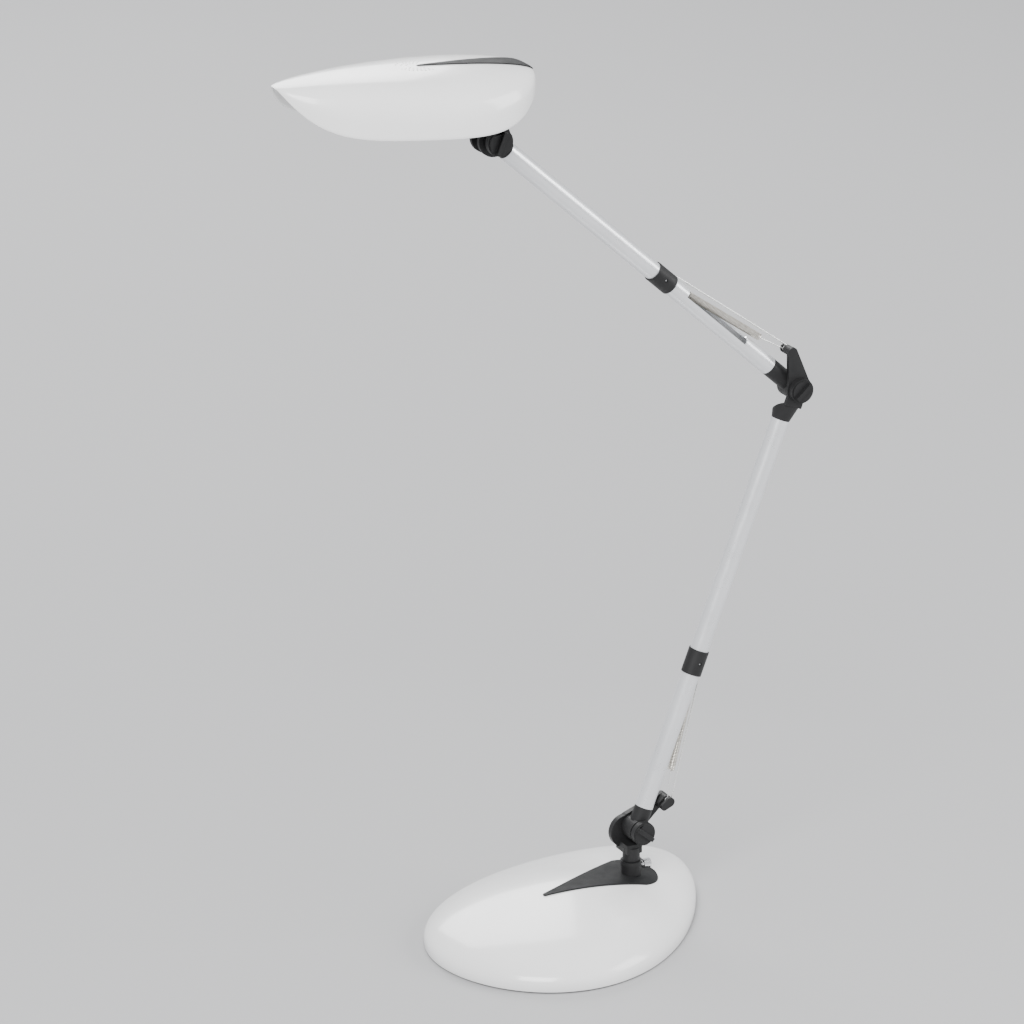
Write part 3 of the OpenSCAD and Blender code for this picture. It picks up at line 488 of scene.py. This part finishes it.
def shade_point(t, a, k=(1, 1, 1), sink=0.0):
    """A point of the shade: t from its back to its tip, a from one rim over to the other.

    k scales it along, across and in height; sink lowers its roof."""
    n = SHADE["square"]
    q = (abs(math.sin(a)) ** n + abs(math.cos(a)) ** n) ** (-1 / n)
    rim = -SHADE["drop"] * (1 - abs(2 * t - 1) ** RIM_POWER)
    top = SHADE["rise"] * swell(t, SHADE["high_at"], **RIDGE_CURVE)
    return Vector((
        -SHADE["length"] / 2 - (t - 0.5) * SHADE["length"] * k[0],
        shade_half(t) * q * math.sin(a) * k[1],
        rim + ((top - rim) * k[2] - sink) * q * math.cos(a),
    ))


def angle_across(share):
    """The angle across the shade at which a share of its half width is reached."""
    n = SHADE["square"]
    return math.atan2(share, (1 - abs(share) ** n) ** (1 / n))


def shade_normal(t, a):
    """The outward direction of the shade at a point, which points up except near the rims."""
    d = 1e-3
    along = shade_point(min(t + d, 1), a) - shade_point(max(t - d, 0), a)
    over = shade_point(t, a + d) - shade_point(t, a - d)
    n = along.cross(over)
    return n.normalized() if n.z >= 0 or abs(a) > 1 else -n.normalized()


def make_shade():
    """The shade's shell with its rounded rim and vent holes."""
    wall = SHADE["wall"]
    shrink = (1 - 2 * wall / SHADE["length"], 1 - 2 * wall / SHADE["width"], 1)
    bm = bmesh.new()
    skins = []
    for k, sink in (((1, 1, 1), 0.0), (shrink, wall)):
        back = bm.verts.new(shade_point(0, 0, k))
        tip = bm.verts.new(shade_point(1, 0, k))
        grid = []
        for i in range(1, SHADE_ROWS):
            t = (1 - math.cos(PI * i / SHADE_ROWS)) / 2
            grid.append([bm.verts.new(shade_point(t, PI * j / SHADE_COLS - PI / 2, k, sink))
                         for j in range(SHADE_COLS + 1)])
        for a, b in zip(grid, grid[1:]):
            for j in range(SHADE_COLS):
                bm.faces.new((a[j], a[j + 1], b[j + 1], b[j]))
        for j in range(SHADE_COLS):
            bm.faces.new((back, grid[0][j + 1], grid[0][j]))
            bm.faces.new((tip, grid[-1][j], grid[-1][j + 1]))
        loop = ([back] + [row[0] for row in grid] + [tip]
                + [row[-1] for row in reversed(grid)])
        skins.append(loop)
    outer, inner = skins
    rims = [outer]
    for share, fall in RIM_EDGE:
        rims.append([bm.verts.new(a.co.lerp(b.co, share) - Vector((0, 0, fall * SHADE["edge"])))
                     for a, b in zip(outer, inner)])
    rims.append(inner)
    for loop, following in zip(rims, rims[1:]):
        bridge(bm, loop, following)
    for v in bm.verts:
        v.co = ON_SHADE @ v.co
    shell = finish_mesh("shade_shell", bm, SHADE_WHITE, sharp_deg=SHADE_SHARP_DEG)
    add_vents(shell)
    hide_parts("shade")
    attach(shell, "head")


def vent_places():
    """Vent holes in arcs round the tip of the ridge strip, as (t, a)."""
    places = []
    for ring, reach in enumerate(VENTS["reach"]):
        count = VENTS["first"] + VENTS["more"] * ring
        for side in (-1, 1):
            for k in range(count):
                turn = math.radians(VENTS["from_deg"] + VENTS["span_deg"] * (k + 0.5) / count)
                dx = reach * math.cos(turn)
                dy = reach * VENTS["squash"] * math.sin(turn) * side
                t = STRIP["t1"] + dx / SHADE["length"]
                places.append((t, angle_across(dy / shade_half(t))))
    return places


def add_cylinder(bm, sides, r, depth, matrix):
    """Adds a cylinder along the matrix's Z to a bmesh."""
    bmesh.ops.create_cone(bm, cap_ends=True, segments=sides, radius1=r, radius2=r,
                          depth=depth, matrix=matrix)


def cut_away(body, cutter, sharp_deg, overlapping=False):
    """Cuts one mesh out of another and removes the cutter, whose pieces may overlap."""
    cut = body.modifiers.new("cut", "BOOLEAN")
    cut.operation = "DIFFERENCE"
    cut.solver = "EXACT"
    cut.use_self = overlapping
    cut.object = cutter
    bpy.context.view_layer.update()
    graph = bpy.context.evaluated_depsgraph_get()
    mesh = bpy.data.meshes.new_from_object(body.evaluated_get(graph))
    body.modifiers.clear()
    body.data = mesh
    shade_smooth(mesh, sharp_deg)
    bpy.data.objects.remove(cutter)


def add_vents(shell):
    """Cuts the vent holes through the shade's roof."""
    bm = bmesh.new()
    for t, a in vent_places():
        middle = ON_SHADE @ shade_point(t, a)
        axis = (ON_SHADE.to_3x3() @ shade_normal(t, a)).normalized()
        turn = axis.to_track_quat("Z", "Y").to_matrix().to_4x4()
        add_cylinder(bm, VENTS["sides"], VENTS["r"], VENTS["depth"],
                     Matrix.Translation(middle) @ turn)
    cutter = finish_mesh("vent_cutter", bm, SHADE_WHITE, smooth=False)
    cut_away(shell, cutter, VENT_SHARP_DEG)


def make_shade_strip():
    """The dark strip that lies along the back of the shade's ridge."""
    count = STRIP["rows"]
    span = STRIP["t1"] - STRIP["t0"]

    def half_at(t):
        share = max(0.0, (STRIP["t1"] - t) / span)
        return STRIP["tip"] + (STRIP["half"] - STRIP["tip"]) * share ** STRIP["taper"]

    def point_at(t, share, height):
        a = angle_across(half_at(t) * share / shade_half(t))
        p = shade_point(t, a, STRIP["grow"], -STRIP["gap"])
        return ON_SHADE @ (p + shade_normal(t, a) * height)

    stations = [STRIP["t0"] + span * (k / count) ** STRIP["crowding"] for k in range(count + 1)]
    skin = rounded_skin("shade_ridge_strip", stations, point_at, STRIP["thick"], INLAY_GREY,
                        across=STRIP["across"])
    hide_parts("shade_inlay")
    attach(skin, "head")


# ---------- arm tubes ----------

def make_tube(name, node, on_arm, body, slot):
    """A tube along an arm, with the slot that its spring passes through."""
    z0, z1 = slot["tube"]
    steps = int((z1 - z0) / TUBE_ROW)
    heights = [z0 + (z1 - z0) * k / steps for k in range(steps + 1)]
    profile = [(TUBE_R, z) for z in heights] + [(BORE_R, z) for z in reversed(heights)]
    bm = bmesh.new()
    rings = [[bm.verts.new(on_arm @ Vector((r * math.cos(2 * PI * i / TUBE_SIDES),
                                            r * math.sin(2 * PI * i / TUBE_SIDES), z)))
              for i in range(TUBE_SIDES)] for r, z in profile]
    for a, b in zip(rings, rings[1:] + rings[:1]):
        bridge(bm, a, b)
    tube = finish_mesh(name, bm, SILVER)
    low, high = slot["z"]
    box_low = Vector((slot["x"], slot["y"], low))
    box_high = Vector((slot["x"] + 2 * TUBE_R, SLOT_R, high))
    cutter_bm = bmesh.new()
    bmesh.ops.create_cube(
        cutter_bm, size=1, matrix=on_arm @ Matrix.Translation((box_low + box_high) / 2)
        @ Matrix.Diagonal((*(box_high - box_low), 1)))
    for z in (low, high):
        add_cylinder(cutter_bm, SLOT_SIDES, SLOT_R, 2 * TUBE_R,
                     on_arm @ Matrix.Translation((SLOT_END_X + TUBE_R, 0, z))
                     @ Matrix.Rotation(PI / 2, 4, "Y"))
    cutter = finish_mesh("slot_cutter", cutter_bm, SILVER, smooth=False)
    cut_away(tube, cutter, SLOT_SHARP_DEG, overlapping=True)
    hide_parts(node)
    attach(tube, body)


# ---------- springs ----------

def make_spring(name, node, on_arm, body):
    """A close coil along a slanted line beside the tube, with a straight tail inside it."""
    s = SPRING
    start = Vector((s["x0"], 0, s["low"]))
    stop = Vector((s["x1"], 0, s["top"]))
    axis = stop - start
    length = axis.length
    axis.normalize()
    out = Vector((axis.z, 0, -axis.x))
    side = Vector((0, 1, 0))
    bend_out = out * s["coil_r"] * 0.5
    points = [start - axis * s["end"], start - axis * s["bend"] + bend_out]
    total = s["turns"] * s["per_turn"]
    for i in range(total + 1):
        a = 2 * PI * i / s["per_turn"]
        along = s["end_gap"] + (length - 2 * s["end_gap"]) * i / total
        points.append(start + axis * along
                      + s["coil_r"] * (math.cos(a) * out + math.sin(a) * side))
    points.append(stop + axis * s["bend"] + bend_out)
    points += [stop + axis * reach for reach in s["tail"]]
    coil = loft(name, tube_along(points, s["wire_r"], s["sides"]), SPRING_STEEL,
                transform=on_arm)
    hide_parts(node)
    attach(coil, body)


def make_wires(name, node, on_arm, lug, collar):
    """The long wire from the collar and the hook from the spring, both to the lug.

    Each wire has one ring of points at each end, so it stays straight as its arm moves."""
    long_top = Vector((TUBE_R + LONG_WIRE["from_tube"], 0,
                       collar - COLLAR_LEN / 2 - LONG_WIRE["under_collar"]))
    long_end = Vector((lug.x + LONG_WIRE["x"], 0, lug.y + LONG_WIRE["z"]))
    hook_top = Vector((SPRING["x0"], 0, SPRING["low"] - HOOK_WIRE["under_spring"]))
    hook_end = Vector((lug.x + HOOK_WIRE["x"], 0, lug.y + HOOK_WIRE["z"]))
    for part, top, end, r in (("long", long_top, long_end, LONG_WIRE["r"]),
                              ("hook", hook_top, hook_end, HOOK_WIRE["r"])):
        wire = loft(f"{name}_{part}", tube_along([end, top], r, WIRE_SIDES), WIRE,
                    transform=on_arm)
        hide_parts(node)
        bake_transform(wire)


def make_lug_loop(name, at, body):
    """The two turns of wire round a lug's pin."""
    s = LUG_LOOP
    pieces = []
    for k, y in enumerate((-s["apart"], s["apart"])):
        points = [at + Vector((s["r"] * math.cos(a), y, s["r"] * math.sin(a)))
                  for a in np.linspace(0, 2 * PI * s["turn"], s["points"])]
        wire = tube_along(points, s["wire_r"], s["sides"])
        pieces.append(loft(f"{name}_{k}", wire, WIRE))
    loop = join(name, pieces)
    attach(loop, body)


# ---------- pieces shown as they are in the solid model ----------

NODE_FINISH = {
    WHITE: ["cover_bosses", "shade_posts"],
    BLACK: ["post_socket", "cord_gland", "swivel_yoke", "shoulder_knob", "lower_foot",
            "lower_collar", "elbow_bracket", "elbow_knob", "upper_foot", "upper_collar",
            "upper_tip", "head_bracket", "head_knob", "swivel_stem", "switch_housing",
            "switch_rocker", "lower_collar_pin", "upper_collar_pin"],
    STEEL: ["base_spacer", "base_nut", "base_screws", "shoulder_nut", "shoulder_washer",
            "shoulder_bolt", "elbow_washer", "elbow_nut", "elbow_bolt", "head_bolt", "head_nut",
            "stem_clip", "stem_nut", "frame_screws", "head_frame"],
    CHROME: ["set_screw"],
    IRON: ["base_weight"],
    RUBBER: ["base_pad"],
    SHEATH: ["lower_cable", "upper_cable"],
    REFLECTOR: ["reflector"],
    GLASS: ["lamp_tube"],
    CREAM: ["lamp_holder", "lamp_base"],
}
# Radius, in millimetres, of the rounded edges of the larger mouldings.
EDGE_RADIUS = {
    "post_socket": 0.5, "swivel_yoke": 0.5, "shoulder_knob": 0.4, "elbow_knob": 0.4,
    "head_knob": 0.4, "elbow_bracket": 0.5, "lower_foot": 0.4, "upper_foot": 0.4,
    "lower_collar": 0.35, "upper_collar": 0.35, "upper_tip": 0.5, "head_bracket": 0.6,
    "set_screw": 0.3, "cord_gland": 0.4, "lamp_tube": 1.0, "lamp_base": 0.6,
    "lamp_holder": 0.6, "switch_rocker": 0.4, "switch_housing": 0.3, "swivel_stem": 0.4,
    "elbow_nut": 0.2,
}
WELD_WITHIN = 0.00001  # metres
FLAT_WITHIN_DEG = 1.0
EDGE_FROM_DEG = 35
EDGE_ROWS = 2


def round_edges(obj, radius):
    """Merges flat faces, bevels the edges and evens the shading."""
    flat = obj.modifiers.new("flat_faces", "DECIMATE")
    flat.decimate_type = "DISSOLVE"
    flat.angle_limit = math.radians(FLAT_WITHIN_DEG)
    bevel = obj.modifiers.new("edges", "BEVEL")
    bevel.width = radius * MM
    bevel.segments = EDGE_ROWS
    bevel.limit_method = "ANGLE"
    bevel.angle_limit = math.radians(EDGE_FROM_DEG)
    bevel.harden_normals = False
    obj.modifiers.new("face_normals", "WEIGHTED_NORMAL").keep_sharp = False


def finish_nodes():
    """Gives each piece its material, and the larger mouldings rounded edges."""
    for material, names in NODE_FINISH.items():
        for name in names:
            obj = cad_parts[name]
            obj.data.materials.clear()
            obj.data.materials.append(material)
            shade_smooth(obj.data, NODE_SHARP_DEG)
            weld = obj.modifiers.new("weld", "WELD")
            weld.merge_threshold = WELD_WITHIN
            if name in EDGE_RADIUS:
                round_edges(obj, EDGE_RADIUS[name])


# ---------- stage, light and camera, in metres ----------

FLOOR = dict(size=40, patch=0.6, dark=(0.44, 0.44, 0.445), light=(0.46, 0.46, 0.465), rough=0.9)
SKY = dict(colour=(0.93, 0.94, 0.96, 1), strength=0.9)
# Each light: place, target, size and power in watts.
LIGHTS = {
    "key": ((-2.2, -2.4, 3.0), (0, 0, 0.3), 2.2, 230),
    "fill": ((2.6, -1.6, 1.8), (0, 0, 0.4), 1.8, 80),
    "rim": ((0.6, 3.0, 2.4), (0, 0, 0.5), 2.0, 95),
}
# Camera: lens and sensor in millimetres, and its angles below level and round from +Y.
CAMERA = dict(lens=214.55, sensor=36, far=100, place=(-2.3767, -4.2208, 2.2083),
              down=0.3623, turn=-0.4915)


def make_stage():
    """A wide pale grey floor."""
    bpy.ops.mesh.primitive_plane_add(size=FLOOR["size"], location=(0, 0, 0))
    floor = bpy.context.object
    floor.name = "floor"
    m, tree, shader = new_material("floor_paint")
    cloud = noise(tree, place(tree), FLOOR["patch"])
    tree.links.new(tint(tree, cloud, FLOOR["dark"], FLOOR["light"]), shader.inputs["Base Color"])
    shader.inputs["Roughness"].default_value = FLOOR["rough"]
    floor.data.materials.append(m)


def area_light(name, place_at, target, size, power):
    """A square lamp that faces its target."""
    data = bpy.data.lights.new(name, "AREA")
    data.energy = power
    data.size = size
    obj = bpy.data.objects.new(name, data)
    obj.location = place_at
    obj.rotation_euler = (Vector(target) - Vector(place_at)).to_track_quat("-Z", "Y").to_euler()
    bpy.context.scene.collection.objects.link(obj)


def make_light():
    """An even sky and three large lamps."""
    world = bpy.data.worlds.new("studio")
    bpy.context.scene.world = world
    world.use_nodes = True
    background = world.node_tree.nodes["Background"]
    background.inputs["Color"].default_value = SKY["colour"]
    background.inputs["Strength"].default_value = SKY["strength"]
    for name, values in LIGHTS.items():
        area_light(name, *values)


def make_camera():
    """A long lens from the front left, a little above."""
    data = bpy.data.cameras.new("camera")
    data.lens = CAMERA["lens"]
    data.sensor_width = CAMERA["sensor"]
    data.clip_end = CAMERA["far"]
    camera = bpy.data.objects.new("camera", data)
    camera.location = CAMERA["place"]
    camera.rotation_euler = (PI / 2 - CAMERA["down"], 0, CAMERA["turn"])
    bpy.context.scene.collection.objects.link(camera)
    bpy.context.scene.camera = camera


finish_nodes()
make_base()
make_base_inlay()
make_shade()
make_shade_strip()
make_tube("lower_arm_tube", "lower_tube", ON_LOWER, "lower_arm", LOWER_SLOT)
make_tube("upper_arm_tube", "upper_tube", ON_UPPER, "upper_arm", UPPER_SLOT)
make_spring("lower_coil", "lower_spring", ON_LOWER, "lower_arm")
make_spring("upper_coil", "upper_spring", ON_UPPER, "upper_arm")
make_wires("lower_wires", "lower_spring_wire", ON_LOWER,
           lug_in_arm(LOWER_LUG, LOWER["tilt"]), LOWER["collar"])
make_wires("upper_wires", "upper_spring_wire", ON_UPPER,
           lug_in_arm(ELBOW_LUG, UPPER["tilt"]), UPPER["collar"])
make_lug_loop("lower_lug_loop", lug_in_row(LOWER_LUG, PIVOT), "swivel")
make_lug_loop("upper_lug_loop", lug_in_row(ELBOW_LUG, ELBOW), "lower_arm")
make_stage()
make_light()
make_camera()
